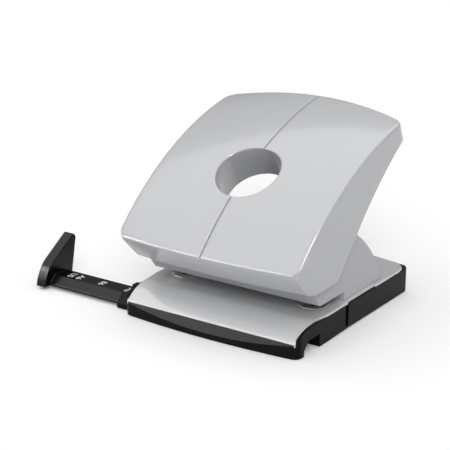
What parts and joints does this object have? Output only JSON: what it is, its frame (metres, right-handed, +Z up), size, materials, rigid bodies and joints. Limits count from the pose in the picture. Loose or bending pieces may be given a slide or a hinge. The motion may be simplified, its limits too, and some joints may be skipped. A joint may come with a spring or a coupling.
{
  "type": "hole punch",
  "caption": "Two-hole desk punch with a broad sloping grey handle, a round thumb hole, a steel base plate, a black chip tray and a sliding paper stop.",
  "frame": {"origin": "on the surface the punch stands on, midway between the two punch holes", "axes": "+X along the line through the two punch holes, to the user's right; +Y from the paper side at the front to the back; +Z up"},
  "size_m": [0.1715, 0.1274, 0.1038],
  "materials": {
    "grey_handle": "glossy",
    "grey_housing": "satin",
    "grey_paint": "satin",
    "black_plastic": "satin",
    "foot_rubber": "matte",
    "steel": "zinc plated",
    "pin_steel": "ground",
    "spring_steel": "wire"
  },
  "bodies": {
    "base": {"base_plate": "grey_paint", "base_tray": "black_plastic", "housing": "grey_housing", "die_left": "steel", "die_right": "steel", "punch_bracket_left": "steel", "punch_bracket_right": "steel", "guide_bush_left": "steel", "guide_bush_right": "steel", "bracket_rivets": "steel", "base_screws": "steel", "fulcrum_axle": "pin_steel", "axle_clips": "steel", "rubber_feet_rear": "foot_rubber", "return_spring_left": "spring_steel", "return_spring_right": "spring_steel"},
    "handle": {"handle_cover": "grey_handle", "lever_frame": "steel", "press_rod": "pin_steel", "handle_screws": "steel"},
    "punch_pin_left": {"punch_pin_left": "pin_steel", "pin_clip_left": "steel"},
    "punch_pin_right": {"punch_pin_right": "pin_steel", "pin_clip_right": "steel"},
    "tray_flap": {"tray_flap": "black_plastic", "rubber_feet_front": "foot_rubber"},
    "stop_rail": {"stop_rail": "black_plastic"}
  },
  "joints": [
    {"name": "handle_pivot", "type": "hinge", "parent": "base", "child": "handle", "pos_m": [0, -0.0165, 0.037], "axis": [-1, 0, 0], "range_deg": [0, 30], "stiffness_Nm_per_rad": 1, "springref_deg": -20.05},
    {"name": "pin_left_slide", "type": "slide", "parent": "base", "child": "punch_pin_left", "axis": [0, 0, -1], "range_m": [0, 0.0087], "deforming": ["return_spring_left"]},
    {"name": "pin_right_slide", "type": "slide", "parent": "base", "child": "punch_pin_right", "axis": [0, 0, -1], "range_m": [0, 0.0087], "deforming": ["return_spring_right"]},
    {"name": "flap_hinge", "type": "hinge", "parent": "base", "child": "tray_flap", "pos_m": [0, 0.0113, 0.0008], "axis": [1, 0, 0], "range_deg": [0, 60]},
    {"name": "stop_slide", "type": "slide", "parent": "tray_flap", "child": "stop_rail", "axis": [1, 0, 0], "range_m": [-0.0381, 0.0478]}
  ],
  "couplings": [
    {"joint": "pin_left_slide", "follows": "handle_pivot", "m_per_rad": 0.016608},
    {"joint": "pin_right_slide", "follows": "handle_pivot", "m_per_rad": 0.016608}
  ]
}
